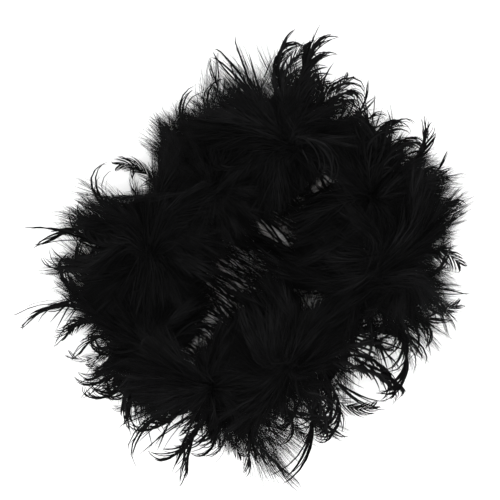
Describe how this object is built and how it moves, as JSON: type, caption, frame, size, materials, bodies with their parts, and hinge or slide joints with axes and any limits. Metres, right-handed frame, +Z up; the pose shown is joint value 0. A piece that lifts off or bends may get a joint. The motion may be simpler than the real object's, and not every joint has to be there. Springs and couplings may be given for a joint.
{
  "type": "feather boa",
  "caption": "Full, soft black feather boa lying coiled in oval turns, with feather bundles bound along a cord core and a free tail at each end.",
  "frame": {"origin": "on the surface that the coiled boa rests on, under the middle of its bounding box", "axes": "+Z up; +X along the long way of the oval coil; the cord is wound clockwise seen from above, from the lower tail's tip near -X to the upper tail's tip near -X"},
  "size_m": [0.34, 0.288, 0.15],
  "materials": {
    "feather_down": "dyed feather down, matt with a soft sheen",
    "binding_thread": "spun thread, slight gloss",
    "cotton_cord": "twisted cotton, matt"
  },
  "bodies": {
    "coil": {"core_cord": "cotton_cord", "feather_tuft_04": "feather_down", "quill_binding_04": "binding_thread", "feather_tuft_05": "feather_down", "quill_binding_05": "binding_thread", "feather_tuft_06": "feather_down", "quill_binding_06": "binding_thread", "feather_tuft_07": "feather_down", "quill_binding_07": "binding_thread", "feather_tuft_08": "feather_down", "quill_binding_08": "binding_thread", "feather_tuft_09": "feather_down", "quill_binding_09": "binding_thread", "feather_tuft_10": "feather_down", "quill_binding_10": "binding_thread", "feather_tuft_11": "feather_down", "quill_binding_11": "binding_thread", "feather_tuft_12": "feather_down", "quill_binding_12": "binding_thread", "feather_tuft_13": "feather_down", "quill_binding_13": "binding_thread", "feather_tuft_14": "feather_down", "quill_binding_14": "binding_thread", "feather_tuft_15": "feather_down", "quill_binding_15": "binding_thread", "feather_tuft_16": "feather_down", "quill_binding_16": "binding_thread", "feather_tuft_17": "feather_down", "quill_binding_17": "binding_thread", "feather_tuft_18": "feather_down", "quill_binding_18": "binding_thread", "feather_tuft_19": "feather_down", "quill_binding_19": "binding_thread", "feather_tuft_20": "feather_down", "quill_binding_20": "binding_thread", "feather_tuft_21": "feather_down", "quill_binding_21": "binding_thread"},
    "lower_tail_1": {"feather_tuft_03": "feather_down", "quill_binding_03": "binding_thread", "lower_tail_cord_1": "cotton_cord"},
    "lower_tail_2": {"feather_tuft_02": "feather_down", "quill_binding_02": "binding_thread", "lower_tail_cord_2": "cotton_cord"},
    "lower_tail_3": {"feather_tuft_01": "feather_down", "quill_binding_01": "binding_thread", "lower_tail_cord_3": "cotton_cord", "lower_end_whipping": "binding_thread", "lower_end_loop": "cotton_cord"},
    "upper_tail_1": {"feather_tuft_22": "feather_down", "quill_binding_22": "binding_thread", "upper_tail_cord_1": "cotton_cord"},
    "upper_tail_2": {"feather_tuft_23": "feather_down", "quill_binding_23": "binding_thread", "upper_tail_cord_2": "cotton_cord"},
    "upper_tail_3": {"feather_tuft_24": "feather_down", "quill_binding_24": "binding_thread", "upper_tail_cord_3": "cotton_cord", "upper_end_whipping": "binding_thread", "upper_end_loop": "cotton_cord"}
  },
  "joints": [
    {"name": "lower_tail_swing_1", "type": "hinge", "parent": "coil", "child": "lower_tail_1", "pos_m": [0.06801, 0.06722, 0.03], "axis": [0, 0, -1], "range_deg": [0, 45]},
    {"name": "lower_tail_swing_2", "type": "hinge", "parent": "lower_tail_1", "child": "lower_tail_2", "pos_m": [-0.00605, 0.07598, 0.03], "axis": [0, 0, -1], "range_deg": [0, 45]},
    {"name": "lower_tail_swing_3", "type": "hinge", "parent": "lower_tail_2", "child": "lower_tail_3", "pos_m": [-0.07905, 0.06228, 0.03], "axis": [0, 0, -1], "range_deg": [0, 45]},
    {"name": "upper_tail_lift_1", "type": "hinge", "parent": "coil", "child": "upper_tail_1", "pos_m": [0.08513, -0.05026, 0.09832], "axis": [-0.6039, 0.7971, 0], "range_deg": [0, 40]},
    {"name": "upper_tail_lift_2", "type": "hinge", "parent": "upper_tail_1", "child": "upper_tail_2", "pos_m": [0.01371, -0.0687, 0.10115], "axis": [-0.0199, 0.9998, 0], "range_deg": [0, 40]},
    {"name": "upper_tail_lift_3", "type": "hinge", "parent": "upper_tail_2", "child": "upper_tail_3", "pos_m": [-0.06058, -0.06169, 0.10386], "axis": [0.3064, 0.9519, 0], "range_deg": [0, 40]}
  ]
}
